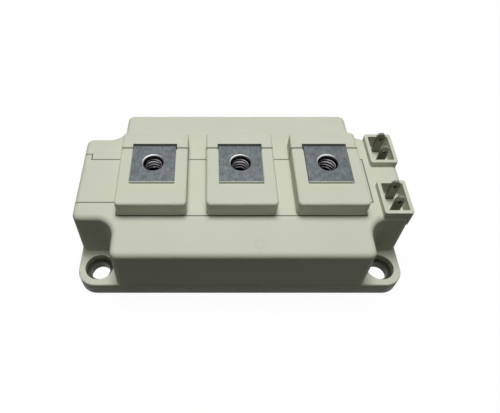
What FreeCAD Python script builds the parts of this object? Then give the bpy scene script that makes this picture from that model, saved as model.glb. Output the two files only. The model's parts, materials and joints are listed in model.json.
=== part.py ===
import FreeCAD, Part
import math
import os

# Half-bridge power module. Lengths are in millimetres.
# The origin is the middle of the base plate's underside.
# +X points to the signal sockets, +Y to the rear, +Z to the screw terminals.

Vector = FreeCAD.Vector

# Base plate and screw holes
package_length = 106.4
package_width = 61.4
package_corner_radius = 6.0
base_thickness = 3.0
screw_inset = 6.7
screw_hole_diameter = 6.4

# Foot of the case round the screw holes
foot_thickness = 2.5
foot_hole_diameter = 9.2
foot_edge_radius = 0.5

# Outer walls of the case, measured at the top of the draft
recess_length = 13.4
recess_width = 13.5
recess_corner_radius = 5.5
wall_corner_radius = 2.4
recess_draft = 0.5
outer_draft = 0.3

# Heights: the terminals stand over the blocks, and the blocks over the floor between them
terminal_height = 30.5
sheet_step = 0.7
block_step = 5.6
edge_fall = 1.2
slope_start = 14.2
slope_blend_radius = 20.0
rim_radius = 1.8

# Three terminal blocks
block_width = 22.0
block_side_step = 0.8
block_front = -16.4
block_rear = 14.5
block_corner_radius = 1.5
block_edge_radius = 0.7
block_end_wall = 1.6

# Case walls and inner hollow
wall_thickness = 2.4
roof_thickness = 4.0
hollow_corner_radius = 1.5

# Lid
lid_setback = 5.1
lid_right_reach = 2.0
lid_tab_length = 3.2
lid_tab_step = 2.45
lid_thickness = 2.4
lid_clearance = 0.1
lid_ledge = 1.5
lid_wall = 2.0

# Screw terminals, 1 mm sheet bent over the nuts
sheet_thickness = 1.0
sheet_bend_radius = 0.5
terminal_width = 14.0
terminal_front = -8.0
terminal_rear = 8.15
terminal_hole_diameter = 6.5
terminal_hole_chamfer = 0.35
terminal_side_gap = 0.3
terminal_rear_gap = 0.8
bend_relief_clearance = 0.1
leg_width = 4.0
foot_reach = 4.0
arm_height = 5.0
arm_roof_gap = 0.2

# Captive nuts
nut_across_flats = 10.0
nut_height = 5.0
nut_bore_diameter = 5.1
nut_chamfer = 0.6
nut_side_clearance = 0.1
nut_top_clearance = 0.15
nut_boss_diameter = 13.6
screw_well_diameter = 7.2
screw_well_depth = 4.5
well_wall = 1.6

# Signal tabs and their moulded sockets
tab_pitch = 6.0
tab_width = 2.8
tab_thickness = 0.8
tab_drop = 0.5
tab_tail = 9.2
tab_tip_slope = 1.1
tab_tip_width = 1.4
tab_hole_diameter = 1.1
tab_hole_depth = 2.3
tab_slot_clearance = 0.05
socket_length = 13.2
socket_width = 9.0
socket_side_step = 0.1
socket_rise = 2.0
socket_depth = 4.6
socket_wall_x = 1.1
socket_wall_y = 1.2
socket_corner_radius = 0.8

# Substrates: copper, ceramic, copper
substrate_middle_gap = 3.0
substrate_end_gap = 1.9
substrate_side_gap = 9.3
ceramic_thickness = 0.38
copper_thickness = 0.3
copper_margin = 1.0
track_gap = 1.0
sense_track_width = 1.4
gate_track_width = 1.8
foot_track_inset = 0.3

# Chips; the length of a substrate that nothing else takes is shared between them and the feet's room
chip_thickness = 0.2
chip_track_inset = 1.5
chip_share = 0.733
emitter_room_share = 0.08
chip_edge_gap = 0.5
chip_gap = 0.3
diode_step = 1.0
diode_width = 5.8
diode_y = 3.3
resistor_length = 3.0
resistor_width = 1.4
resistor_height = 0.6

# Bond wires
wire_diameter = 0.4
wire_rise = 1.8
igbt_wire_count = 4
diode_wire_count = 2
diode_wire_pitch = 2.0
gate_wire_inset = 0.6
landing_inset = 1.0

# Link between the two halves of the bridge
link_lead_gap = 1.275
link_bottom = 8.0
link_height = 5.0

# Insulated leads from the tabs to the substrates
lead_diameter = 1.4
lead_bend_radius = 2.5
gate_lead_drop = 5.2
sense_lead_drop = 8.2
sense_lead_first_run = 6.4
sense_lead_slant = 5.0

# Adhesive between base plate and case
adhesive_width = 1.2
adhesive_thickness = 0.6

# How far a cutting shape runs past the face that it opens, and how exact an edge's place is
past = 1.0
hair = 0.01

# Plan sizes that follow from the sizes above
half_length = package_length / 2
half_width = package_width / 2
bulge_length = package_length - 2 * recess_length
end_width = package_width - 2 * recess_width
sheet_rear_inner = terminal_rear - sheet_thickness
lid_front = block_front + lid_setback
lid_rear = sheet_rear_inner - lid_clearance
lid_right = bulge_length / 2 + lid_right_reach
lid_tab_start = lid_tab_length - half_length
lid_tab_rear = lid_rear + lid_tab_step
block_half = block_width / 2
terminal_pitch = bulge_length / 2 - block_half - block_side_step
terminal_places = [step * terminal_pitch for step in (-1, 0, 1)]
tab_x = half_length - outer_draft - socket_width / 2
socket_y = end_width / 2 - socket_side_step - socket_length / 2
tab_inner_y = socket_y - tab_pitch / 2
tab_places = [sign * (tab_inner_y + step * tab_pitch) for sign in (1, -1) for step in (1, 0)]
sense_lead_y = (terminal_rear + tab_inner_y + tab_pitch - lead_diameter / 2) / 2
link_y = lead_diameter / 2 + link_lead_gap + sheet_thickness / 2 - sense_lead_y
substrate_length = (bulge_length - substrate_middle_gap) / 2 - wall_thickness - substrate_end_gap
substrate_width = package_width - 2 * (wall_thickness + substrate_side_gap)
substrate_x = (substrate_middle_gap + substrate_length) / 2
taken_length = (2 * copper_margin + sense_track_width + gate_track_width + 3 * track_gap
                + foot_track_inset + landing_inset + chip_track_inset + 2 * leg_width)
free_length = substrate_length - taken_length
emitter_track_width = foot_track_inset + leg_width + emitter_room_share * free_length + landing_inset

# Levels that follow from the sizes above
block_height = terminal_height - sheet_step
floor_height = block_height - block_step
edge_height = floor_height - edge_fall
foot_top = base_thickness + foot_thickness
roof_underside = floor_height - roof_thickness
lid_underside = floor_height - lid_thickness
sheet_underside = terminal_height - sheet_thickness
nut_top = sheet_underside - nut_top_clearance
nut_bottom = nut_top - nut_height
well_bottom = nut_bottom - screw_well_depth
arm_bottom = roof_underside - arm_roof_gap - arm_height
tab_top = terminal_height - tab_drop
tab_bottom = roof_underside - tab_tail
socket_height = floor_height + socket_rise
socket_floor = socket_height - socket_depth
lower_copper_top = base_thickness + copper_thickness
ceramic_top = lower_copper_top + ceramic_thickness
upper_copper_top = ceramic_top + copper_thickness
chip_top = upper_copper_top + chip_thickness
loft_top = block_height + past


def box(x0, x1, y0, y1, z0, z1):
    return Part.makeBox(x1 - x0, y1 - y0, z1 - z0, Vector(x0, y0, z0))


def cylinder(x, y, z0, z1, diameter):
    return Part.makeCylinder(diameter / 2, z1 - z0, Vector(x, y, z0))


def fuse_all(shapes):
    result = shapes[0]
    for shape in shapes[1:]:
        result = result.fuse(shape)
    return result.removeSplitter()


def rounded_outline(corners, place):
    """Closed wire through corners given as (a, b, radius), put in space by place(a, b)."""
    edges = []
    ends = []
    count = len(corners)
    for index in range(count):
        point = place(*corners[index][:2])
        radius = corners[index][2]
        before = (place(*corners[index - 1][:2]) - point).normalize()
        after = (place(*corners[(index + 1) % count][:2]) - point).normalize()
        half_angle = before.getAngle(after) / 2
        reach = radius / math.tan(half_angle)
        through = point + (before + after).normalize() * (radius / math.sin(half_angle) - radius)
        ends.append((point + before * reach, through, point + after * reach))
    for index in range(count):
        start, through, end = ends[index]
        if corners[index][2] > 0:
            edges.append(Part.Arc(start, through, end).toShape())
        edges.append(Part.LineSegment(end, ends[(index + 1) % count][0]).toShape())
    return Part.Wire(edges)


def plan_outline(corners, z):
    return rounded_outline(corners, lambda x, y: Vector(x, y, z))


def rectangle_outline(x0, x1, y0, y1, radius, z):
    corners = [(x0, y0, radius), (x1, y0, radius), (x1, y1, radius), (x0, y1, radius)]
    return plan_outline(corners, z)


def rectangle_prism(x0, x1, y0, y1, radius, z0, z1):
    face = Part.Face(rectangle_outline(x0, x1, y0, y1, radius, z0))
    return face.extrude(Vector(0, 0, z1 - z0))


def cross_outline(long_half, bulge_half, wide_half, end_half, inner_radius, outer_radius, z):
    """Plan of the case: a rectangle whose four corners are cut away for the screws."""
    quarter = [
        (long_half, end_half, outer_radius),
        (bulge_half, end_half, inner_radius),
        (bulge_half, wide_half, outer_radius),
    ]
    corners = list(quarter)
    corners += [(-x, y, radius) for x, y, radius in reversed(quarter)]
    corners += [(-x, -y, radius) for x, y, radius in quarter]
    corners += [(x, -y, radius) for x, y, radius in reversed(quarter)]
    return plan_outline(corners, z)


def side_profile(corners, x0, x1):
    """Prism along X with an outline given as (y, z, radius)."""
    face = Part.Face(rounded_outline(corners, lambda y, z: Vector(x0, y, z)))
    return face.extrude(Vector(x1 - x0, 0, 0))


def front_profile(points, y0, y1):
    """Prism along Y with an outline given as (x, z)."""
    vectors = [Vector(x, y0, z) for x, z in points]
    face = Part.Face(Part.makePolygon(vectors + vectors[:1]))
    return face.extrude(Vector(0, y1 - y0, 0))


def face_tilt(face):
    u0, u1, v0, v1 = face.ParameterRange
    return abs(face.normalAt((u0 + u1) / 2, (v0 + v1) / 2).z)


def rim_edges(solid, lowest):
    """Edges above a level where a wall meets a top face."""
    chosen = []
    for edge in solid.Edges:
        if edge.BoundBox.ZMin < lowest:
            continue
        tilts = [face_tilt(face) for face in solid.ancestorsOfType(edge, Part.Face)]
        if len(tilts) == 2 and min(tilts) < 0.3 and max(tilts) > 0.7:
            chosen.append(edge)
    return chosen


def screw_places():
    half_x = half_length - screw_inset
    half_y = half_width - screw_inset
    return [(x, y) for x in (-half_x, half_x) for y in (-half_y, half_y)]


def make_base_plate():
    plate = rectangle_prism(-half_length, half_length, -half_width, half_width,
                            package_corner_radius, 0, base_thickness)
    for x, y in screw_places():
        plate = plate.cut(cylinder(x, y, 0, base_thickness, screw_hole_diameter))
    return plate


def case_walls():
    """Drafted walls from the foot to above the blocks."""
    low = cross_outline(half_length, bulge_length / 2 + recess_draft, half_width,
                        end_width / 2 + recess_draft, recess_corner_radius,
                        wall_corner_radius, foot_top)
    high = cross_outline(half_length - outer_draft, bulge_length / 2, half_width - outer_draft,
                         end_width / 2, recess_corner_radius, wall_corner_radius, loft_top)
    return Part.makeLoft([low, high], True, True)


def lower_body():
    """Body up to the floor between the blocks, with its rounded rim."""
    past_wall = half_width + past
    fall = (floor_height - edge_height) / (half_width - slope_start)
    low_end = floor_height - (past_wall - slope_start) * fall
    profile = [
        (-past_wall, base_thickness, 0),
        (-past_wall, low_end, 0),
        (-slope_start, floor_height, slope_blend_radius),
        (slope_start, floor_height, slope_blend_radius),
        (past_wall, low_end, 0),
        (past_wall, base_thickness, 0),
    ]
    body = case_walls().common(side_profile(profile, -half_length - past, half_length + past))
    return body.makeFillet(rim_radius, rim_edges(body, edge_height - past))


def block_form(x):
    """One terminal block, with rounded corners and a rounded rim."""
    block = rectangle_prism(x - block_half, x + block_half, block_front, block_rear,
                            block_corner_radius, lid_underside, block_height)
    return block.makeFillet(block_edge_radius, rim_edges(block, block_height - hair))


def outer_form():
    blocks = [block_form(x) for x in terminal_places]
    return lower_body(), blocks


def lid_space(clearance):
    """Space that the lid takes, from its underside up."""
    top = loft_top + past
    strip = box(lid_tab_start - clearance, lid_right + clearance, lid_front - clearance,
                lid_rear + clearance, lid_underside, top)
    tab = box(-half_length - past, lid_tab_start + clearance, lid_front - clearance,
              lid_tab_rear + clearance, lid_underside, top)
    apron = box(terminal_places[0] - block_half - clearance,
                terminal_places[-1] + block_half + clearance,
                block_front - clearance, lid_front, lid_underside, top)
    return strip.fuse(tab).fuse(apron)


def hex_prism(x, y, z0, z1, across_flats):
    radius = across_flats / math.sqrt(3)
    corners = [Vector(x + radius * math.cos(math.radians(60 * step)),
                      y + radius * math.sin(math.radians(60 * step)), z0) for step in range(6)]
    face = Part.Face(Part.makePolygon(corners + corners[:1]))
    return face.extrude(Vector(0, 0, z1 - z0))


def sheet_recess(x):
    """Shallow seat of a terminal and the slot that its riser comes up through."""
    half = terminal_width / 2 + terminal_side_gap
    seat = box(x - half, x + half, terminal_front - terminal_side_gap,
               terminal_rear + terminal_rear_gap, sheet_underside, loft_top)
    slot = box(x - half, x + half, lid_rear, terminal_rear + terminal_rear_gap,
               roof_underside - past, loft_top)
    return seat, slot


def bend_relief(x):
    """Step in the lid's rear edge that leaves room for the inside of a terminal's bend."""
    half = terminal_width / 2 + terminal_side_gap
    start = sheet_rear_inner - sheet_bend_radius - bend_relief_clearance
    depth = sheet_bend_radius + bend_relief_clearance
    return box(x - half, x + half, start, lid_rear + past, sheet_underside - depth, loft_top)


def make_lid(body, blocks):
    lid = body.common(lid_space(0))
    for x, block in zip(terminal_places, blocks):
        lid = lid.fuse(block.common(lid_space(0)))
    lid = lid.removeSplitter()
    for x in terminal_places:
        hollow = box(x - block_half + lid_wall, x + block_half - lid_wall,
                     block_front + block_end_wall, lid_rear - lid_wall, lid_underside,
                     block_height - lid_wall)
        boss = cylinder(x, 0, lid_underside, block_height, nut_boss_diameter)
        lid = lid.cut(hollow.cut(boss))
        well_outer = cylinder(x, 0, well_bottom - well_wall, nut_bottom,
                              screw_well_diameter + 2 * well_wall)
        lid = lid.fuse(well_outer).removeSplitter()
        lid = lid.cut(hex_prism(x, 0, nut_bottom, loft_top, nut_across_flats + 2 * nut_side_clearance))
        lid = lid.cut(cylinder(x, 0, well_bottom, nut_top, screw_well_diameter))
        lid = lid.cut(sheet_recess(x)[0]).cut(bend_relief(x))
    return lid


def socket_box(sign, inset_x, inset_y, z0, z1, radius):
    outer_x = half_length - outer_draft
    middle_y = sign * socket_y
    return rectangle_prism(outer_x - socket_width + inset_x, outer_x - inset_x,
                           middle_y - socket_length / 2 + inset_y,
                           middle_y + socket_length / 2 - inset_y, radius, z0, z1)


def hollow_outline(extra, z):
    inset = wall_thickness - extra
    return cross_outline(half_length - inset, bulge_length / 2 - inset, half_width - inset,
                         end_width / 2 - inset, recess_corner_radius, hollow_corner_radius, z)


def main_hollow():
    face = Part.Face(hollow_outline(0, base_thickness))
    return face.extrude(Vector(0, 0, roof_underside - base_thickness))


def block_hollow(x):
    """Core under the rear end of a block, behind the lid and the riser's slot."""
    half = block_half - lid_wall
    return box(x - half, x + half, terminal_rear + terminal_rear_gap + block_end_wall,
               block_rear - block_end_wall, roof_underside - past, block_height - wall_thickness)


def adhesive_ring():
    outer = Part.Face(hollow_outline(adhesive_width, base_thickness))
    return outer.extrude(Vector(0, 0, adhesive_thickness)).cut(main_hollow())


def make_case(body, blocks):
    foot = rectangle_prism(-half_length, half_length, -half_width, half_width,
                           package_corner_radius, base_thickness, foot_top)
    foot = foot.makeFillet(foot_edge_radius, rim_edges(foot, foot_top - hair))
    sockets = [socket_box(sign, 0, 0, roof_underside, socket_height, socket_corner_radius)
               for sign in (1, -1)]
    case = fuse_all([body, foot] + blocks + sockets)
    case = case.cut(lid_space(lid_clearance))
    case = case.cut(main_hollow()).cut(adhesive_ring())
    case = case.cut(box(lid_tab_start + lid_ledge, lid_right - lid_ledge, lid_front + lid_ledge,
                        lid_rear - lid_ledge, roof_underside - past, lid_underside + past))
    for x in terminal_places:
        case = case.cut(sheet_recess(x)[1]).cut(block_hollow(x))
    for x, y in screw_places():
        case = case.cut(cylinder(x, y, base_thickness, foot_top + past, foot_hole_diameter))
    for sign in (1, -1):
        case = case.cut(socket_box(sign, socket_wall_x, socket_wall_y, socket_floor,
                                   socket_height + past, socket_corner_radius / 2))
    for y in tab_places:
        case = case.cut(tab_blade(y, tab_slot_clearance, roof_underside - past, socket_height))
    return case.removeSplitter()


def bent_sheet(y_riser_inner, y_end, z_riser_end, z_flat_inner, x0, x1):
    """L of sheet along X: a riser and a flat leaf with a rounded bend between them."""
    outward = 1 if y_riser_inner > y_end else -1
    upward = 1 if z_flat_inner > z_riser_end else -1
    thick = sheet_thickness
    inner = sheet_bend_radius
    outer = inner + thick
    slant = math.sqrt(0.5)
    y_centre = y_riser_inner - outward * inner
    z_centre = z_flat_inner - upward * inner
    y_out = y_riser_inner + outward * thick
    z_out = z_flat_inner + upward * thick

    def at(y, z):
        return Vector(x0, y, z)

    inner_arc = Part.Arc(at(y_riser_inner, z_centre),
                         at(y_centre + outward * inner * slant, z_centre + upward * inner * slant),
                         at(y_centre, z_flat_inner))
    outer_arc = Part.Arc(at(y_out, z_centre),
                         at(y_centre + outward * outer * slant, z_centre + upward * outer * slant),
                         at(y_centre, z_out))
    edges = [
        Part.LineSegment(at(y_out, z_riser_end), at(y_out, z_centre)).toShape(),
        outer_arc.toShape(),
        Part.LineSegment(at(y_centre, z_out), at(y_end, z_out)).toShape(),
        Part.LineSegment(at(y_end, z_out), at(y_end, z_flat_inner)).toShape(),
        Part.LineSegment(at(y_end, z_flat_inner), at(y_centre, z_flat_inner)).toShape(),
        inner_arc.toShape(),
        Part.LineSegment(at(y_riser_inner, z_centre), at(y_riser_inner, z_riser_end)).toShape(),
        Part.LineSegment(at(y_riser_inner, z_riser_end), at(y_out, z_riser_end)).toShape(),
    ]
    face = Part.Face(Part.Wire(Part.__sortEdges__(edges)))
    return face.extrude(Vector(x1 - x0, 0, 0))


def leg_with_foot(x_middle, y_inner, foot_direction, z_top):
    """Narrow leg whose foot is soldered on the upper copper."""
    x0 = x_middle - leg_width / 2
    x1 = x_middle + leg_width / 2
    y_end = y_inner + foot_direction * foot_reach
    return bent_sheet(y_inner, y_end, z_top, upper_copper_top + sheet_thickness, x0, x1)


def collector_strip_x():
    """Middle of the strip of the collector track that is free for a foot."""
    outer = substrate_length / 2 - copper_margin
    chip_edge = chip_x() + igbt_size() / 2
    return substrate_x + (outer + chip_edge - substrate_x) / 2


def emitter_strip_x():
    """Middle of the strip of the emitter track that is free for a foot."""
    start = track_spans()["emitter"][0]
    return substrate_x - substrate_length / 2 + start + foot_track_inset + leg_width / 2


def emitter_landing_x():
    """Line on the emitter track where the bond wires come down."""
    end = track_spans()["emitter"][1]
    return substrate_x - substrate_length / 2 + end - landing_inset


def chip_edge_x():
    """Inner edge of the transistor chips, on the half with positive X."""
    return substrate_x - substrate_length / 2 + track_spans()["collector"][0] + chip_track_inset


def igbt_outer_y():
    return substrate_width / 2 - copper_margin - chip_edge_gap


def igbt_size():
    """Side of a transistor chip: the largest square for the room along and across its track."""
    room_across = igbt_outer_y() - chip_gap - diode_y - diode_width / 2
    return min(chip_share * free_length, room_across)


def chip_x():
    return chip_edge_x() + igbt_size() / 2


def make_terminal(x, leg_x):
    half = terminal_width / 2
    top = bent_sheet(sheet_rear_inner, terminal_front, arm_bottom + arm_height,
                     sheet_underside, x - half, x + half)
    hole = cylinder(x, 0, sheet_underside - past, terminal_height + past, terminal_hole_diameter)
    top = top.cut(hole)
    mouth = [edge for edge in top.Edges
             if edge.BoundBox.ZMin > terminal_height - hair
             and isinstance(edge.Curve, Part.Circle)]
    top = top.makeChamfer(terminal_hole_chamfer, mouth)
    left = min(x - half, leg_x - leg_width / 2)
    right = max(x + half, leg_x + leg_width / 2)
    arm = box(left, right, sheet_rear_inner, terminal_rear, arm_bottom,
              arm_bottom + arm_height)
    leg = leg_with_foot(leg_x, terminal_rear, 1, arm_bottom)
    return fuse_all([top, arm, leg])


def make_nut(x):
    nut = hex_prism(x, 0, nut_bottom, nut_top, nut_across_flats)
    cone_radius = nut_across_flats / 2
    rise = nut_across_flats
    for base, direction in ((nut_top, -1), (nut_bottom, 1)):
        cone = Part.makeCone(cone_radius, cone_radius + rise * math.sqrt(3), rise,
                             Vector(x, 0, base), Vector(0, 0, direction))
        nut = nut.common(cone)
    nut = nut.cut(cylinder(x, 0, nut_bottom, nut_top, nut_bore_diameter))
    mouth_radius = nut_bore_diameter / 2 + nut_chamfer
    for base, direction in ((nut_top, -1), (nut_bottom, 1)):
        nut = nut.cut(Part.makeCone(mouth_radius, nut_bore_diameter / 2, nut_chamfer,
                                    Vector(x, 0, base), Vector(0, 0, direction)))
    return nut


def tab_blade(y, clearance, z0, z1):
    half_x = tab_width / 2 + clearance
    half_y = tab_thickness / 2 + clearance
    return box(tab_x - half_x, tab_x + half_x, y - half_y, y + half_y, z0, z1)


def make_tab(y):
    half = tab_width / 2
    tip = tab_tip_width / 2
    profile = [
        (tab_x - half, tab_bottom),
        (tab_x + half, tab_bottom),
        (tab_x + half, tab_top - tab_tip_slope),
        (tab_x + tip, tab_top),
        (tab_x - tip, tab_top),
        (tab_x - half, tab_top - tab_tip_slope),
    ]
    blade = front_profile(profile, y - tab_thickness / 2, y + tab_thickness / 2)
    hole = Part.makeCylinder(tab_hole_diameter / 2, 2 * tab_thickness,
                             Vector(tab_x, y - tab_thickness, tab_top - tab_hole_depth), Vector(0, 1, 0))
    return blade.cut(hole)


def mirrored(shape, side):
    if side > 0:
        return shape
    return shape.mirror(Vector(0, 0, 0), Vector(1, 0, 0))


def substrate_box(side, margin, z0, z1):
    x0 = substrate_x - substrate_length / 2 + margin
    x1 = substrate_x + substrate_length / 2 - margin
    half_y = substrate_width / 2 - margin
    return mirrored(box(x0, x1, -half_y, half_y, z0, z1), side)


def track_spans():
    """Start and end of each track, measured out from the substrate's inner edge."""
    sense_end = copper_margin + sense_track_width
    gate_end = sense_end + track_gap + gate_track_width
    emitter_end = gate_end + track_gap + emitter_track_width
    return {
        "sense": (copper_margin, sense_end),
        "gate": (sense_end + track_gap, gate_end),
        "emitter": (gate_end + track_gap, emitter_end),
        "collector": (emitter_end + track_gap, substrate_length - copper_margin),
    }


def track_middle(name):
    start, end = track_spans()[name]
    return substrate_x - substrate_length / 2 + (start + end) / 2


def make_upper_copper(side):
    inner_edge = substrate_x - substrate_length / 2
    half_y = substrate_width / 2 - copper_margin
    tracks = []
    for start, end in track_spans().values():
        track = box(inner_edge + start, inner_edge + end, -half_y, half_y, ceramic_top, upper_copper_top)
        tracks.append(mirrored(track, side))
    return Part.makeCompound(tracks)


def make_chips(side, length, width, y_places):
    chips = []
    for y in y_places:
        chip = box(chip_x() - length / 2, chip_x() + length / 2, y - width / 2, y + width / 2,
                   upper_copper_top, chip_top)
        chips.append(mirrored(chip, side))
    return Part.makeCompound(chips)


def bent_rod(start, through, end, section_at):
    """Rod along the arc through three points; section_at gives its section as a face."""
    edge = Part.Arc(start, through, end).toShape()
    circle = edge.Curve
    outward = (start - circle.Center).normalize()
    angle = math.degrees(edge.LastParameter - edge.FirstParameter)
    return section_at(start, outward, circle.Axis).revolve(circle.Center, circle.Axis, angle)


def round_section(start, outward, axis):
    circle = Part.makeCircle(lead_diameter / 2, start, axis.cross(outward))
    return Part.Face(Part.Wire([circle]))


def wire_section(start, outward, axis):
    """Bond wire's section, with the flats that bonding and drawing leave on it."""
    radius = wire_diameter / 2
    turns = [math.radians(30 + 60 * step) for step in range(6)]
    corners = [start + outward * (radius * math.cos(turn)) + axis * (radius * math.sin(turn))
               for turn in turns]
    return Part.Face(Part.makePolygon(corners + corners[:1]))


def bond_wire(x_start, z_start, x_end, z_end, y):
    """Round wire in an arc from a chip to a track."""
    top = max(z_start, z_end) + wire_rise
    return bent_rod(Vector(x_start, y, z_start), Vector((x_start + x_end) / 2, y, top),
                    Vector(x_end, y, z_end), wire_section)


def wire_rows(count, pitch, middle):
    return [middle + (index - (count - 1) / 2) * pitch for index in range(count)]


def make_bond_wires(side):
    """Wires from the chips' tops to the emitter track, and from each gate to the gate track."""
    wires = []
    lift = wire_diameter / 2
    emitter_x = emitter_landing_x()
    gate_x = track_middle("gate")
    igbt_wire_pitch = igbt_size() / (igbt_wire_count + 1)
    igbt_y = igbt_outer_y() - igbt_size() / 2
    for sign in (-1, 1):
        for y in wire_rows(igbt_wire_count, igbt_wire_pitch, sign * igbt_y):
            wires.append(bond_wire(chip_x(), chip_top + lift, emitter_x, upper_copper_top + lift, y))
        for y in wire_rows(diode_wire_count, diode_wire_pitch, sign * diode_y):
            wires.append(bond_wire(chip_x(), chip_top + lift, emitter_x, upper_copper_top + lift, y))
        gate_row = sign * (igbt_outer_y() - gate_wire_inset)
        wires.append(bond_wire(chip_edge_x() + gate_wire_inset, chip_top + lift,
                               gate_x, upper_copper_top + lift, gate_row))
    above_chips = box(0, half_length, -half_width, half_width, chip_top, roof_underside)
    above_tracks = box(0, chip_edge_x(), -half_width, half_width, upper_copper_top, roof_underside)
    space = above_chips.fuse(above_tracks)
    return Part.makeCompound([mirrored(wire.common(space), side) for wire in wires])


def make_resistor(side):
    x = track_middle("gate")
    resistor = box(x - resistor_width / 2, x + resistor_width / 2, -resistor_length / 2,
                   resistor_length / 2, upper_copper_top, upper_copper_top + resistor_height)
    return mirrored(resistor, side)


def make_phase_link():
    """Upright bar from the emitter side of one half to the collector side of the other."""
    x_right = emitter_strip_x()
    x_left = -collector_strip_x()
    half = leg_width / 2
    y_face = link_y - sheet_thickness / 2
    bar = box(x_left - half, x_right + half, y_face, y_face + sheet_thickness,
              link_bottom, link_bottom + link_height)
    legs = [leg_with_foot(x, y_face, -1, link_bottom) for x in (x_left, x_right)]
    return fuse_all([bar] + legs)


def make_lead(points):
    """Insulated lead of straight runs joined by tangent bends."""
    rods = []
    start = points[0]
    for before, corner, after in zip(points, points[1:], points[2:]):
        back = (before - corner).normalize()
        ahead = (after - corner).normalize()
        half_angle = back.getAngle(ahead) / 2
        reach = lead_bend_radius / math.tan(half_angle)
        inset = lead_bend_radius / math.sin(half_angle) - lead_bend_radius
        bend_start = corner + back * reach
        bend_end = corner + ahead * reach
        bend_middle = corner + (back + ahead).normalize() * inset
        rods.append(lead_run(start, bend_start))
        rods.append(bent_rod(bend_start, bend_middle, bend_end, round_section))
        start = bend_end
    rods.append(lead_run(start, points[-1]))
    return fuse_all(rods)


def lead_run(start, end):
    return Part.makeCylinder(lead_diameter / 2, (end - start).Length, start, end - start)


def make_gate_lead(side):
    x_tab = tab_x - tab_width / 2
    y = side * (tab_inner_y + tab_pitch)
    x_end = side * track_middle("gate")
    z = roof_underside - gate_lead_drop
    points = [Vector(x_tab, y, z), Vector(x_end, y, z), Vector(x_end, y, upper_copper_top)]
    return make_lead(points)


def make_sense_lead(side):
    x_tab = tab_x - tab_width / 2
    x_end = side * track_middle("sense")
    y_tab = side * tab_inner_y
    y_run = side * sense_lead_y
    z = roof_underside - sense_lead_drop
    x_bend = tab_x - sense_lead_first_run
    points = [Vector(x_tab, y_tab, z), Vector(x_bend, y_tab, z),
              Vector(x_bend - sense_lead_slant, y_run, z), Vector(x_end, y_run, z),
              Vector(x_end, y_run, upper_copper_top)]
    return make_lead(points)


def all_pieces():
    body, blocks = outer_form()
    pieces = {
        "base_plate": make_base_plate(),
        "case": make_case(body, blocks),
        "lid": make_lid(body, blocks),
        "case_adhesive": adhesive_ring(),
        "phase_link": make_phase_link(),
    }
    leg_places = [-collector_strip_x(), -emitter_strip_x(), collector_strip_x()]
    for number, (x, leg_x) in enumerate(zip(terminal_places, leg_places), start=1):
        pieces["terminal_%d" % number] = make_terminal(x, leg_x)
        pieces["nut_%d" % number] = make_nut(x)
    for number, y in enumerate(tab_places, start=1):
        pieces["signal_tab_%d" % number] = make_tab(y)
    igbt_y = igbt_outer_y() - igbt_size() / 2
    for name, side in (("right", 1), ("left", -1)):
        igbt_places = (-igbt_y, igbt_y)
        diode_places = (-diode_y, diode_y)
        diode_length = igbt_size() - 2 * diode_step
        pieces["lower_copper_" + name] = substrate_box(side, copper_margin, base_thickness, lower_copper_top)
        pieces["ceramic_" + name] = substrate_box(side, 0, lower_copper_top, ceramic_top)
        pieces["upper_copper_" + name] = make_upper_copper(side)
        pieces["igbt_chips_" + name] = make_chips(side, igbt_size(), igbt_size(), igbt_places)
        pieces["diode_chips_" + name] = make_chips(side, diode_length, diode_width, diode_places)
        pieces["bond_wires_" + name] = make_bond_wires(side)
        pieces["gate_resistor_" + name] = make_resistor(side)
        pieces["gate_lead_" + name] = make_gate_lead(side)
        pieces["sense_lead_" + name] = make_sense_lead(side)
    return pieces


os.makedirs("parts", exist_ok=True)
for node, shape in all_pieces().items():
    shape.exportStep("parts/" + node + ".step")
    print(node, "solids", len(shape.Solids), "valid", shape.isValid(), "volume", round(shape.Volume, 2))
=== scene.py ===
import bpy
import json
import math

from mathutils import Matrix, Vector


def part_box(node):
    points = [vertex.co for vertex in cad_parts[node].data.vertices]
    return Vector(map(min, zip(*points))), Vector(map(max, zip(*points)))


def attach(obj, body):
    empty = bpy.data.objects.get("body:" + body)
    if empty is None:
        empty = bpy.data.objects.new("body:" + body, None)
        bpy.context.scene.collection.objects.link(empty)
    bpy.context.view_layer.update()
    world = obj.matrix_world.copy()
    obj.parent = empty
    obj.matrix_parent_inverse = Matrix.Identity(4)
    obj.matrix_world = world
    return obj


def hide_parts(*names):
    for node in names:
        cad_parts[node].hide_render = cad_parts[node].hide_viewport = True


# Power module on a pale floor, seen from the front and from well above.
# Lengths are in metres, in the frame of the CAD: +X to the signal sockets, +Y to the rear, +Z up.

mm = 0.001

# Camera
aim_point = Vector((-10.3 * mm, -9.8 * mm, 20.0 * mm))
camera_distance = 152.8 * mm
camera_elevation = math.radians(53.0)
camera_lens = 33.8
camera_shift = 0.083
camera_near = 0.01

# Lamps: a small one a little behind overhead, a broader one overhead, and a weak one in front
key_place = Vector((-0.02, 0.12, 0.60))
key_size = 0.2
key_power = 2.42
top_place = Vector((0.02, -0.01, 0.62))
top_size = 0.26
top_power = 1.0
front_place = Vector((-0.25, -0.60, 0.30))
front_size = 0.50
front_power = 0.05
room_light = 0.034
warm_white = (1.0, 0.97, 0.78, 1.0)

# Floor and background
floor_half = 3.0
floor_bounce = 0.06
floor_glow = 0.95

# Thread of the nuts
thread_pitch = 1.25 * mm
thread_core_radius = 2.50 * mm
thread_depth = 0.48 * mm
thread_mouth = 0.6 * mm
nut_across_flats = 10.0 * mm
nut_turn_steps = 96
nut_rows_per_turn = 10

# Holes over the nuts: their pitch along X, the painted highlight on the plate's rim, the painted shade
# on the nut round the hole and the painted shade in the well under each nut
hole_pitch = 28.0 * mm
rim_highlight_radius = 3.45 * mm
rim_highlight_width = 0.22 * mm
rim_highlight_side = (-0.5, 0.87)
rim_highlight_least = 0.12
groove_shade_radius = 3.9 * mm
groove_shade_width = 0.15 * mm
groove_shade_plateau = 1.12 * mm
well_radius = 3.8 * mm
well_top = 24.4 * mm

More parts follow.
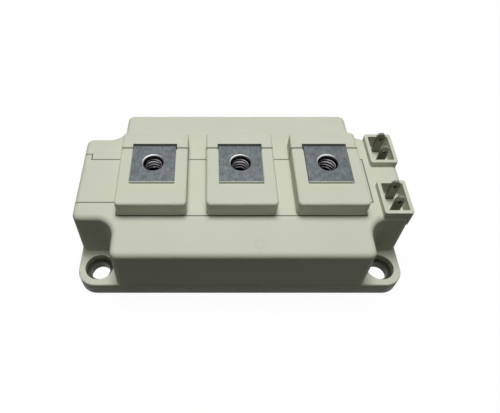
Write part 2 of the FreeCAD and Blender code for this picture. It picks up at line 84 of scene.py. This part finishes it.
# Lid's outline in plan, as boxes that overlap, each given by its middle and half size
lid_strip = ((-7.1 * mm, -2.125 * mm), (48.9 * mm, 9.175 * mm))
lid_tab = ((-53.0 * mm, -0.9 * mm), (3.0 * mm, 10.4 * mm))
lid_apron = ((0.0, -10.7 * mm), (39.0 * mm, 5.7 * mm))
lid_bottom = 21.7 * mm
block_foot = 24.3 * mm
apron_rear = -8.0 * mm

# Painted shade along the lid's outline, standing in for the shadow in the seam's gap: its share of the
# way to the dark colour, and how much wider it is on the blocks
seam_shade_width = 0.33 * mm
seam_shade_depth = 0.95
seam_shade_widening = 0.7

# Front edge of the terminal plates, where a pale colour is painted as a highlight for the reflection the
# face would catch
plate_highlight_front = -7.93 * mm

# Axis of the holes in the signal tabs, along Y, and the reach of the painted shade inside them
tab_hole_x = 48.4 * mm
tab_hole_z = 27.7 * mm
tab_hole_shade_reach = 0.57 * mm

# Round ejector mark on the front slope of the case
mark_centre = (5.0 * mm, -26.2 * mm, 23.35 * mm)
mark_radius = 1.4 * mm
mark_line = 0.25 * mm
mark_depth = 0.08 * mm

# Relief of a surface's grain or scratches
fine_relief = 0.01 * mm
plate_relief = 0.02 * mm


def linear(code):
    """Linear colour of an sRGB code such as "C4C8B4"."""
    channels = [int(code[start:start + 2], 16) / 255 for start in (0, 2, 4)]
    values = [c / 12.92 if c <= 0.04045 else ((c + 0.055) / 1.055) ** 2.4 for c in channels]
    return (*values, 1.0)


def new_group(name, inputs, outputs):
    """Shader node group with named sockets, given as (name, socket type, default)."""
    group = bpy.data.node_groups.new(name, "ShaderNodeTree")
    for socket_name, kind, default in inputs:
        socket = group.interface.new_socket(socket_name, in_out="INPUT", socket_type=kind)
        socket.default_value = default
    for socket_name, kind in outputs:
        group.interface.new_socket(socket_name, in_out="OUTPUT", socket_type=kind)
    start = group.nodes.new("NodeGroupInput")
    end = group.nodes.new("NodeGroupOutput")
    return group, start, end


def object_place(group):
    """Place in the piece's own axes, which are the frame's."""
    return group.nodes.new("ShaderNodeTexCoord").outputs["Object"]


def noise(group, place, scale, detail):
    """Noise texture; its scale is a number or a socket."""
    node = group.nodes.new("ShaderNodeTexNoise")
    node.inputs["Detail"].default_value = detail
    group.links.new(place, node.inputs["Vector"])
    if isinstance(scale, (int, float)):
        node.inputs["Scale"].default_value = scale
    else:
        group.links.new(scale, node.inputs["Scale"])
    return node.outputs["Fac"]


def maths(group, operation, first, second):
    """Maths node; first and second are numbers or sockets."""
    node = group.nodes.new("ShaderNodeMath")
    node.operation = operation
    for socket, value in zip(node.inputs, (first, second)):
        if isinstance(value, (int, float)):
            socket.default_value = value
        else:
            group.links.new(value, socket)
    return node.outputs[0]


def sum_of_squares(group, first, second):
    return maths(group, "ADD", maths(group, "MULTIPLY", first, first),
                 maths(group, "MULTIPLY", second, second))


def mixed_colour(group, factor, first, second):
    """Colour between two, by a factor from 0 for the first to 1 for the second."""
    node = group.nodes.new("ShaderNodeMix")
    node.data_type = "RGBA"
    group.links.new(factor, node.inputs["Factor"])
    group.links.new(first, node.inputs["A"])
    group.links.new(second, node.inputs["B"])
    return node.outputs["Result"]


def rough_surface(group, start, pattern):
    """Roughness that swings about its base with a pattern from 0 to 1."""
    swing = maths(group, "MULTIPLY", maths(group, "SUBTRACT", pattern, 0.5),
                  start.outputs["Roughness Spread"])
    return maths(group, "ADD", start.outputs["Base Roughness"], swing)


def grain_group():
    """Moulded or sintered surface: slow mottling and a fine grain."""
    group, start, end = new_group(
        "fine_grain",
        [("Colour", "NodeSocketColor", (0.5, 0.5, 0.5, 1)),
         ("Mottle Colour", "NodeSocketColor", (0.4, 0.4, 0.4, 1)),
         ("Mottle Scale", "NodeSocketFloat", 80.0),
         ("Grain Scale", "NodeSocketFloat", 4000.0),
         ("Base Roughness", "NodeSocketFloat", 0.5),
         ("Roughness Spread", "NodeSocketFloat", 0.1)],
        [("Colour", "NodeSocketColor"), ("Roughness", "NodeSocketFloat"), ("Height", "NodeSocketFloat")])
    place = object_place(group)
    mottle = noise(group, place, start.outputs["Mottle Scale"], 3)
    grain = noise(group, place, start.outputs["Grain Scale"], 2)
    colour = mixed_colour(group, mottle, start.outputs["Colour"], start.outputs["Mottle Colour"])
    roughness = rough_surface(group, start, grain)
    group.links.new(colour, end.inputs["Colour"])
    group.links.new(roughness, end.inputs["Roughness"])
    group.links.new(grain, end.inputs["Height"])
    return group


def plating_group():
    """Plated or drawn metal: stains, fine scratches along one direction and dull patches."""
    group, start, end = new_group(
        "scratched_plating",
        [("Colour", "NodeSocketColor", (0.5, 0.5, 0.5, 1)),
         ("Stain Colour", "NodeSocketColor", (0.4, 0.4, 0.4, 1)),
         ("Stain Scale", "NodeSocketFloat", 300.0),
         ("Scratch Stretch", "NodeSocketVector", (9000.0, 500.0, 500.0)),
         ("Base Roughness", "NodeSocketFloat", 0.4),
         ("Roughness Spread", "NodeSocketFloat", 0.3)],
        [("Colour", "NodeSocketColor"), ("Roughness", "NodeSocketFloat"), ("Height", "NodeSocketFloat")])
    place = object_place(group)
    stretch = group.nodes.new("ShaderNodeVectorMath")
    stretch.operation = "MULTIPLY"
    group.links.new(place, stretch.inputs[0])
    group.links.new(start.outputs["Scratch Stretch"], stretch.inputs[1])
    scratches = noise(group, stretch.outputs["Vector"], 1.0, 2)
    stains = noise(group, place, start.outputs["Stain Scale"], 4)
    blotch = maths(group, "MULTIPLY", maths(group, "ADD", stains, scratches), 0.5)
    colour = mixed_colour(group, blotch, start.outputs["Colour"], start.outputs["Stain Colour"])
    roughness = rough_surface(group, start, blotch)
    group.links.new(colour, end.inputs["Colour"])
    group.links.new(roughness, end.inputs["Roughness"])
    group.links.new(scratches, end.inputs["Height"])
    return group


def ring_group():
    """Raised ring round a centre, as an ejector pin leaves."""
    group, start, end = new_group(
        "ejector_ring",
        [("Centre", "NodeSocketVector", (0, 0, 0)),
         ("Radius", "NodeSocketFloat", 0.001),
         ("Line", "NodeSocketFloat", 0.0002)],
        [("Height", "NodeSocketFloat")])
    distance = group.nodes.new("ShaderNodeVectorMath")
    distance.operation = "DISTANCE"
    group.links.new(object_place(group), distance.inputs[0])
    group.links.new(start.outputs["Centre"], distance.inputs[1])
    off_line = maths(group, "ABSOLUTE", maths(group, "SUBTRACT", distance.outputs["Value"],
                                              start.outputs["Radius"]), 0.0)
    near = maths(group, "SUBTRACT", 1.0, maths(group, "DIVIDE", off_line, start.outputs["Line"]))
    group.links.new(maths(group, "MAXIMUM", near, 0.0), end.inputs["Height"])
    return group


def split_place(group):
    """The place's X, Y and Z."""
    node = group.nodes.new("ShaderNodeSeparateXYZ")
    group.links.new(object_place(group), node.inputs[0])
    return node.outputs


def hole_axis_group():
    """Distance from the axis of the nearest of the three holes over the nuts."""
    group, start, end = new_group(
        "hole_axis",
        [("Pitch", "NodeSocketFloat", 0.028)],
        [("Distance", "NodeSocketFloat"), ("Level", "NodeSocketFloat"),
         ("Offset X", "NodeSocketFloat"), ("Offset Y", "NodeSocketFloat")])
    x, y, z = split_place(group)
    nearest = maths(group, "ROUND", maths(group, "DIVIDE", x, start.outputs["Pitch"]), 0.0)
    nearest = maths(group, "MAXIMUM", maths(group, "MINIMUM", nearest, 1.0), -1.0)
    offset = maths(group, "SUBTRACT", x, maths(group, "MULTIPLY", nearest, start.outputs["Pitch"]))
    group.links.new(maths(group, "SQRT", sum_of_squares(group, offset, y), 0.0), end.inputs["Distance"])
    group.links.new(z, end.inputs["Level"])
    group.links.new(offset, end.inputs["Offset X"])
    group.links.new(y, end.inputs["Offset Y"])
    return group


def highlight_crescent_group(hole_axis, band):
    """Painted highlight on a ring round a hole, strong to the lit side of it and at its least to the
    other.
    """
    group, start, end = new_group(
        "highlight_crescent",
        [("Pitch", "NodeSocketFloat", 0.028),
         ("Radius", "NodeSocketFloat", 0.0034),
         ("Width", "NodeSocketFloat", 0.0003),
         ("Side X", "NodeSocketFloat", 0.0),
         ("Side Y", "NodeSocketFloat", 1.0),
         ("Least", "NodeSocketFloat", 0.1)],
        [("Share", "NodeSocketFloat")])
    place = group.nodes.new("ShaderNodeGroup")
    place.node_tree = hole_axis
    ring = group.nodes.new("ShaderNodeGroup")
    ring.node_tree = band
    for name in ("Pitch", "Radius", "Width"):
        group.links.new(start.outputs[name], ring.inputs[name])
    group.links.new(start.outputs["Pitch"], place.inputs["Pitch"])
    across = maths(group, "MULTIPLY", place.outputs["Offset X"], start.outputs["Side X"])
    back = maths(group, "MULTIPLY", place.outputs["Offset Y"], start.outputs["Side Y"])
    facing = maths(group, "DIVIDE", maths(group, "ADD", across, back), place.outputs["Distance"])
    facing = maths(group, "MAXIMUM", facing, start.outputs["Least"])
    group.links.new(maths(group, "MULTIPLY", facing, ring.outputs["Share"]), end.inputs["Share"])
    return group


def in_front_group():
    """1 in front of a place along Y, 0 behind it."""
    group, start, end = new_group(
        "in_front", [("Start", "NodeSocketFloat", 0.0)], [("Share", "NodeSocketFloat")])
    y = split_place(group)["Y"]
    group.links.new(maths(group, "LESS_THAN", y, start.outputs["Start"]), end.inputs["Share"])
    return group


def bore_shade_group():
    """Mask for painted shade: 1 within a distance of an axis along Y, 0 elsewhere."""
    group, start, end = new_group(
        "bore_shade",
        [("Axis X", "NodeSocketFloat", 0.0),
         ("Axis Z", "NodeSocketFloat", 0.0),
         ("Reach", "NodeSocketFloat", 0.0005)],
        [("Share", "NodeSocketFloat")])
    x, y, z = split_place(group)
    across = maths(group, "SUBTRACT", x, start.outputs["Axis X"])
    above = maths(group, "SUBTRACT", z, start.outputs["Axis Z"])
    distance = maths(group, "SQRT", sum_of_squares(group, across, above), 0.0)
    near = maths(group, "LESS_THAN", distance, start.outputs["Reach"])
    group.links.new(near, end.inputs["Share"])
    return group


def overlay_group():
    """A colour with another laid over it, by a share from 0 to 1."""
    group, start, end = new_group(
        "overlay",
        [("Colour", "NodeSocketColor", (0.5, 0.5, 0.5, 1)),
         ("Laid Colour", "NodeSocketColor", (0.01, 0.01, 0.01, 1)),
         ("Share", "NodeSocketFloat", 0.0)],
        [("Colour", "NodeSocketColor")])
    colour = mixed_colour(group, start.outputs["Share"], start.outputs["Colour"],
                          start.outputs["Laid Colour"])
    group.links.new(colour, end.inputs["Colour"])
    return group


def well_group(hole_axis):
    """1 in the screw wells under the nuts, where no light reaches, and 0 elsewhere."""
    group, start, end = new_group(
        "screw_well",
        [("Pitch", "NodeSocketFloat", 0.028),
         ("Radius", "NodeSocketFloat", 0.0038),
         ("Top", "NodeSocketFloat", 0.0244)],
        [("Share", "NodeSocketFloat")])
    place = group.nodes.new("ShaderNodeGroup")
    place.node_tree = hole_axis
    group.links.new(start.outputs["Pitch"], place.inputs["Pitch"])
    near = maths(group, "LESS_THAN", place.outputs["Distance"], start.outputs["Radius"])
    below = maths(group, "LESS_THAN", place.outputs["Level"], start.outputs["Top"])
    group.links.new(maths(group, "MULTIPLY", near, below), end.inputs["Share"])
    return group


def band_group(hole_axis):
    """1 on a ring round a hole's axis, out to the plateau to each side, falling to 0 over a width."""
    group, start, end = new_group(
        "axis_band",
        [("Pitch", "NodeSocketFloat", 0.028),
         ("Radius", "NodeSocketFloat", 0.0034),
         ("Width", "NodeSocketFloat", 0.0003),
         ("Plateau", "NodeSocketFloat", 0.0)],
        [("Share", "NodeSocketFloat")])
    place = group.nodes.new("ShaderNodeGroup")
    place.node_tree = hole_axis
    group.links.new(start.outputs["Pitch"], place.inputs["Pitch"])
    away = maths(group, "ABSOLUTE", maths(group, "SUBTRACT", place.outputs["Distance"],
                                          start.outputs["Radius"]), 0.0)
    past = maths(group, "MAXIMUM", maths(group, "SUBTRACT", away, start.outputs["Plateau"]), 0.0)
    share = maths(group, "SUBTRACT", 1.0, maths(group, "DIVIDE", past, start.outputs["Width"]))
    group.links.new(maths(group, "MAXIMUM", share, 0.0), end.inputs["Share"])
    return group


def plan_box_group():
    """Distance in plan from the outline of a box; less than 0 inside it."""
    group, start, end = new_group(
        "plan_box",
        [("Middle X", "NodeSocketFloat", 0.0),
         ("Middle Y", "NodeSocketFloat", 0.0),
         ("Half X", "NodeSocketFloat", 0.01),
         ("Half Y", "NodeSocketFloat", 0.01)],
        [("Distance", "NodeSocketFloat")])
    x, y, z = split_place(group)
    past = []
    for value, name in ((x, "X"), (y, "Y")):
        offset = maths(group, "SUBTRACT", value, start.outputs["Middle " + name])
        away = maths(group, "ABSOLUTE", offset, 0.0)
        past.append(maths(group, "SUBTRACT", away, start.outputs["Half " + name]))
    group.links.new(maths(group, "MAXIMUM", past[0], past[1]), end.inputs["Distance"])
    return group


def seam_shade_group(plan_box):
    """Painted shade along the outline of the three boxes that make up the lid, wider on the blocks,
    standing in for the shadow in the seam's gap.
    """
    group, start, end = new_group(
        "lid_seam_shade",
        [("Width", "NodeSocketFloat", 0.0002),
         ("Widening", "NodeSocketFloat", 0.0),
         ("Depth", "NodeSocketFloat", 0.7)],
        [("Share", "NodeSocketFloat")])
    distance = None
    for middle, half in (lid_strip, lid_tab, lid_apron):
        outline = group.nodes.new("ShaderNodeGroup")
        outline.node_tree = plan_box
        outline.inputs["Middle X"].default_value = middle[0]
        outline.inputs["Middle Y"].default_value = middle[1]
        outline.inputs["Half X"].default_value = half[0]
        outline.inputs["Half Y"].default_value = half[1]
        found = outline.outputs["Distance"]
        distance = found if distance is None else maths(group, "MINIMUM", distance, found)
    away = maths(group, "ABSOLUTE", distance, 0.0)
    x, y, z = split_place(group)
    on_lid = maths(group, "GREATER_THAN", z, lid_bottom)
    on_block = maths(group, "GREATER_THAN", z, block_foot)
    on_block_front = maths(group, "MULTIPLY", on_block, maths(group, "LESS_THAN", y, apron_rear))
    widening = maths(group, "ADD", 1.0, maths(group, "MULTIPLY", on_block, start.outputs["Widening"]))
    width = maths(group, "MULTIPLY", widening, start.outputs["Width"])
    near = maths(group, "SUBTRACT", 1.0, maths(group, "DIVIDE", away, width))
    near = maths(group, "MAXIMUM", near, 0.0)
    shown = maths(group, "MULTIPLY", on_lid, maths(group, "SUBTRACT", 1.0, on_block_front))
    share = maths(group, "MULTIPLY", maths(group, "MULTIPLY", near, shown), start.outputs["Depth"])
    group.links.new(share, end.inputs["Share"])
    return group


def lay_colour(material, overlay, colour, effect):
    """Lays a colour over a material's own, by the share that an effect gives."""
    tree = material.node_tree
    target = tree.nodes["Principled BSDF"].inputs["Base Color"]
    before = target.links[0].from_socket
    layer = tree.nodes.new("ShaderNodeGroup")
    layer.node_tree = overlay
    layer.inputs["Laid Colour"].default_value = linear(colour)
    tree.links.new(before, layer.inputs["Colour"])
    tree.links.new(effect.outputs["Share"], layer.inputs["Share"])
    tree.links.new(layer.outputs["Colour"], target)


def effect_node(material, group, settings):
    """Puts a group into a material with its own values."""
    node = material.node_tree.nodes.new("ShaderNodeGroup")
    node.node_tree = group
    for key, value in settings.items():
        node.inputs[key].default_value = value
    return node


def surface(name, group, colour, second, settings, metallic=0.0, bump=fine_relief, specular=0.5):
    """Principled material whose colour, roughness and bump height come from a group."""
    material = bpy.data.materials.new(name)
    material.use_nodes = True
    tree = material.node_tree
    shader = tree.nodes["Principled BSDF"]
    shader.inputs["Metallic"].default_value = metallic
    shader.inputs["Specular IOR Level"].default_value = specular
    effect = tree.nodes.new("ShaderNodeGroup")
    effect.node_tree = group
    second_name = "Mottle Colour" if "Mottle Colour" in effect.inputs else "Stain Colour"
    effect.inputs["Colour"].default_value = linear(colour)
    effect.inputs[second_name].default_value = linear(second)
    for key, value in settings.items():
        effect.inputs[key].default_value = value
    relief = tree.nodes.new("ShaderNodeBump")
    relief.inputs["Distance"].default_value = bump
    tree.links.new(effect.outputs["Colour"], shader.inputs["Base Color"])
    tree.links.new(effect.outputs["Roughness"], shader.inputs["Roughness"])
    tree.links.new(effect.outputs["Height"], relief.inputs["Height"])
    tree.links.new(relief.outputs["Normal"], shader.inputs["Normal"])
    return material


def add_ejector_mark(material):
    """Lays the ring's relief over the grain's."""
    tree = material.node_tree
    grain_relief = next(node for node in tree.nodes if node.type == "BUMP")
    shader = tree.nodes["Principled BSDF"]
    ring = tree.nodes.new("ShaderNodeGroup")
    ring.node_tree = ring_group()
    ring.inputs["Centre"].default_value = mark_centre
    ring.inputs["Radius"].default_value = mark_radius
    ring.inputs["Line"].default_value = mark_line
    relief = tree.nodes.new("ShaderNodeBump")
    relief.inputs["Distance"].default_value = mark_depth
    tree.links.new(ring.outputs["Height"], relief.inputs["Height"])
    tree.links.new(grain_relief.outputs["Normal"], relief.inputs["Normal"])
    tree.links.new(relief.outputs["Normal"], shader.inputs["Normal"])


def case_plastic(grain, overlay, hole_axis):
    """Cream moulding with painted shade along the lid's seam, painted shade in the screw wells and an
    ejector mark.
    """
    material = surface("case_plastic", grain, "CACDBC", "C2C5B3",
                       {"Mottle Scale": 60.0, "Grain Scale": 6000.0, "Base Roughness": 0.6},
                       specular=0.22)
    # Painted shade in the gap along the lid's seam
    seam = effect_node(material, seam_shade_group(plan_box_group()),
                       {"Width": seam_shade_width, "Widening": seam_shade_widening, "Depth": seam_shade_depth})
    lay_colour(material, overlay, "3C3B2E", seam)
    well = effect_node(material, well_group(hole_axis),
                       {"Pitch": hole_pitch, "Radius": well_radius, "Top": well_top})
    lay_colour(material, overlay, "0E0D0B", well)
    add_ejector_mark(material)
    return material


def terminal_plate(plating, overlay, hole_axis, band):
    """Dull nickel plating, with a painted highlight on one side of the stamped hole's rim and along the
    plate's front edge.
    """
    material = surface("terminal_plate", plating, "777D80", "121415",
                       {"Stain Scale": 700.0, "Scratch Stretch": (4000.0, 500.0, 500.0),
                        "Base Roughness": 0.6}, metallic=1.0, bump=plate_relief)
    # Painted highlight on the lit side of each hole's rim
    rim = effect_node(material, highlight_crescent_group(hole_axis, band),
                      {"Pitch": hole_pitch, "Radius": rim_highlight_radius, "Width": rim_highlight_width,
                       "Side X": rim_highlight_side[0], "Side Y": rim_highlight_side[1], "Least": rim_highlight_least})
    lay_colour(material, overlay, "FFFFFF", rim)
    # Painted highlight along the plates' front edge
    edge = effect_node(material, in_front_group(), {"Start": plate_highlight_front})
    lay_colour(material, overlay, "B9BCB4", edge)
    return material


def nickel_plate(plating):
    """Dark satin plating of the base plate."""
    return surface("nickel_plate", plating, "3E3F36", "2D2E27",
                   {"Stain Scale": 150.0, "Base Roughness": 0.45}, metallic=1.0)


def nut_steel(plating, overlay, band):
    """Steel with bright thread crests, and painted shade in the thread's grooves and on the nut's top
    round the hole.
    """
    material = surface("nut_steel", plating, "E6E2E8", "C6C2C8",
                       {"Stain Scale": 600.0, "Base Roughness": 0.32}, metallic=1.0)
    # Painted shade on a ring round the hole: the thread's grooves and the nut's top under the plate
    groove = effect_node(material, band,
                         {"Pitch": hole_pitch, "Radius": groove_shade_radius, "Width": groove_shade_width,
                          "Plateau": groove_shade_plateau})
    lay_colour(material, overlay, "060606", groove)
    return material


def tab_metal(plating, overlay):
    """Dull tin plating, with painted shade inside the tabs' holes."""
    material = surface("tab_metal", plating, "8E8D80", "55544A",
                       {"Stain Scale": 500.0, "Scratch Stretch": (500.0, 500.0, 9000.0),
                        "Base Roughness": 0.40}, metallic=1.0)
    # Painted shade inside the tabs' holes
    bore = effect_node(material, bore_shade_group(),
                       {"Axis X": tab_hole_x, "Axis Z": tab_hole_z, "Reach": tab_hole_shade_reach})
    lay_colour(material, overlay, "1C1B18", bore)
    return material


def adhesive(grain):
    return surface("adhesive", grain, "DCDCD6", "CFCFC8", {"Base Roughness": 0.45})


def copper(plating):
    return surface("copper", plating, "C98A66", "A8694A", {"Base Roughness": 0.35}, metallic=1.0)


def ceramic(grain):
    return surface("ceramic", grain, "EDEDEA", "E2E2DE", {"Base Roughness": 0.40})


def silicon(grain):
    return surface("silicon", grain, "5C5C64", "494950",
                   {"Base Roughness": 0.22, "Mottle Scale": 900.0}, metallic=0.8)


def bond_wire(plating):
    return surface("bond_wire", plating, "D4D4D4", "B4B4B4", {"Base Roughness": 0.30}, metallic=1.0)


def resistor(grain):
    return surface("resistor", grain, "26262A", "1A1A1C", {"Base Roughness": 0.30})


def lead_sleeve(grain):
    return surface("lead_sleeve", grain, "B02A22", "98221C", {"Base Roughness": 0.55})


def all_materials():
    """Each record slot's material; the groups that several of them use are made once."""
    grain = grain_group()
    plating = plating_group()
    hole_axis = hole_axis_group()
    band = band_group(hole_axis)
    overlay = overlay_group()
    made = {"case_plastic": case_plastic(grain, overlay, hole_axis),
            "terminal_plate": terminal_plate(plating, overlay, hole_axis, band),
            "nut_steel": nut_steel(plating, overlay, band),
            "tab_metal": tab_metal(plating, overlay)}
    for make in (adhesive, ceramic, silicon, resistor, lead_sleeve):
        made[make.__name__] = make(grain)
    for make in (nickel_plate, copper, bond_wire):
        made[make.__name__] = make(plating)
    return made


def paint_nodes(frame, materials):
    """Gives each CAD node the material of its slot in the record."""
    for part in frame["record"]["subparts"]:
        mesh = frame["nodes"][part["node"]].data
        mesh.materials.clear()
        mesh.materials.append(materials[part["material_slot"]])


def hexagon_radius(turn):
    """Distance from the axis to the hexagon's side at an angle."""
    sixth = math.pi / 3
    return nut_across_flats / 2 / math.cos(turn % sixth - sixth / 2)


def thread_radius(turn, height, low, high):
    """Bore of the nut: a helical groove, with a cone at each mouth."""
    phase = (height / thread_pitch - turn / (2 * math.pi)) % 1.0
    groove = thread_core_radius + thread_depth * (1 - abs(2 * phase - 1))
    mouth = thread_core_radius + thread_mouth - min(height - low, high - height)
    return max(groove, mouth)


def threaded_nut(node, material):
    """Hexagon nut with a cut thread, in the place of the CAD's nut with its plain bore."""
    low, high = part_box(node)
    centre = (low + high) / 2
    count = round((high.z - low.z) / thread_pitch * nut_rows_per_turn)
    levels = [low.z + (high.z - low.z) * row / count for row in range(count + 1)]
    turns = [2 * math.pi * step / nut_turn_steps for step in range(nut_turn_steps)]
    rows = [[(thread_radius(turn, level, low.z, high.z), level) for turn in turns] for level in levels]
    for level, inner in ((high.z, True), (high.z, False), (low.z, False), (low.z, True)):
        flat = nut_across_flats / 2
        rows.append([(flat if inner else hexagon_radius(turn), level) for turn in turns])
    points = [(centre.x + radius * math.cos(turn), centre.y + radius * math.sin(turn), level)
              for row in rows for turn, (radius, level) in zip(turns, row)]
    faces = []
    for row in range(len(rows)):
        above = (row + 1) % len(rows)
        for step in range(nut_turn_steps):
            beside = (step + 1) % nut_turn_steps
            faces.append((row * nut_turn_steps + beside, row * nut_turn_steps + step,
                          above * nut_turn_steps + step, above * nut_turn_steps + beside))
    mesh = bpy.data.meshes.new(node + "_threaded")
    mesh.from_pydata(points, [], faces)
    mesh.materials.append(material)
    nut = bpy.data.objects.new(node + "_threaded", mesh)
    bpy.context.scene.collection.objects.link(nut)
    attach(nut, "root")
    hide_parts(node)
    return nut


def seen_directly(tree):
    """1 for camera, mirror and glass rays, 0 for the light that bounces about."""
    path = tree.nodes.new("ShaderNodeLightPath")
    total = maths(tree, "ADD", path.outputs["Is Camera Ray"], path.outputs["Is Glossy Ray"])
    total = maths(tree, "ADD", total, path.outputs["Is Transmission Ray"])
    return maths(tree, "MINIMUM", total, 1.0)


def white_floor():
    """Floor that looks white, keeps a pale shadow, and bounces little light up at the object."""
    mesh = bpy.data.meshes.new("floor")
    corners = [(-floor_half, -floor_half, 0), (floor_half, -floor_half, 0),
               (floor_half, floor_half, 0), (-floor_half, floor_half, 0)]
    mesh.from_pydata(corners, [], [(0, 1, 2, 3)])
    floor = bpy.data.objects.new("floor", mesh)
    bpy.context.scene.collection.objects.link(floor)
    material = bpy.data.materials.new("floor")
    material.use_nodes = True
    tree = material.node_tree
    tree.nodes.clear()
    output = tree.nodes.new("ShaderNodeOutputMaterial")
    glow = tree.nodes.new("ShaderNodeEmission")
    glow.inputs["Color"].default_value = (1, 1, 1, 1)
    glow.inputs["Strength"].default_value = 1.0
    pale = tree.nodes.new("ShaderNodeBsdfDiffuse")
    pale.inputs["Color"].default_value = (1, 1, 1, 1)
    dull = tree.nodes.new("ShaderNodeBsdfDiffuse")
    dull.inputs["Color"].default_value = [floor_bounce * part for part in warm_white[:3]] + [1]
    shown = tree.nodes.new("ShaderNodeMixShader")
    shown.inputs["Fac"].default_value = floor_glow
    tree.links.new(pale.outputs[0], shown.inputs[1])
    tree.links.new(glow.outputs[0], shown.inputs[2])
    choice = tree.nodes.new("ShaderNodeMixShader")
    tree.links.new(seen_directly(tree), choice.inputs["Fac"])
    tree.links.new(dull.outputs[0], choice.inputs[1])
    tree.links.new(shown.outputs[0], choice.inputs[2])
    tree.links.new(choice.outputs[0], output.inputs["Surface"])
    mesh.materials.append(material)


def white_world():
    """White to look at, and a dim room as a light."""
    world = bpy.data.worlds.new("room")
    bpy.context.scene.world = world
    world.use_nodes = True
    tree = world.node_tree
    tree.nodes.clear()
    output = tree.nodes.new("ShaderNodeOutputWorld")
    back = tree.nodes.new("ShaderNodeBackground")
    seen = seen_directly(tree)
    tint = tree.nodes.new("ShaderNodeMix")
    tint.data_type = "RGBA"
    tint.inputs["A"].default_value = warm_white
    tint.inputs["B"].default_value = (1, 1, 1, 1)
    tree.links.new(seen, tint.inputs["Factor"])
    tree.links.new(tint.outputs["Result"], back.inputs["Color"])
    lit = maths(tree, "MULTIPLY", seen, 1.0 - room_light)
    tree.links.new(maths(tree, "ADD", lit, room_light), back.inputs["Strength"])
    tree.links.new(back.outputs[0], output.inputs["Surface"])


def lamp(name, place, size, power):
    """Square lamp that faces the middle of the module."""
    light = bpy.data.lights.new(name, "AREA")
    light.size = size
    light.energy = power
    holder = bpy.data.objects.new(name, light)
    holder.location = place
    holder.rotation_mode = "QUATERNION"
    holder.rotation_quaternion = (aim_point - place).to_track_quat("-Z", "Y")
    bpy.context.scene.collection.objects.link(holder)
    return holder


def camera():
    """Camera in front and above, level from side to side."""
    data = bpy.data.cameras.new("camera")
    data.lens = camera_lens
    data.shift_x = camera_shift
    data.clip_start = camera_near
    holder = bpy.data.objects.new("camera", data)
    back = Vector((0, -math.cos(camera_elevation), math.sin(camera_elevation)))
    holder.location = aim_point + back * camera_distance
    holder.rotation_mode = "QUATERNION"
    holder.rotation_quaternion = (-back).to_track_quat("-Z", "Y")
    bpy.context.scene.collection.objects.link(holder)
    bpy.context.scene.camera = holder


bpy.context.scene.view_settings.view_transform = "Standard"
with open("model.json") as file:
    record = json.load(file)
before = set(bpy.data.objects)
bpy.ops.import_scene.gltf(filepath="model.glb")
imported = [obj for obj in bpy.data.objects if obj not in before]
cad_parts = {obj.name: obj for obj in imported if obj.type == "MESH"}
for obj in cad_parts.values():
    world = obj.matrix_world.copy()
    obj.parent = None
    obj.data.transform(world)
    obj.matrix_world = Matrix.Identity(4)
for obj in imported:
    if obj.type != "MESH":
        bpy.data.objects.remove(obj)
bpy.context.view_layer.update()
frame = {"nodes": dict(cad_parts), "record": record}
materials = all_materials()
paint_nodes(frame, materials)
for number in (1, 2, 3):
    threaded_nut("nut_%d" % number, materials["nut_steel"])
white_floor()
white_world()
lamp("key", key_place, key_size, key_power)
lamp("top", top_place, top_size, top_power)
lamp("front", front_place, front_size, front_power)
camera()
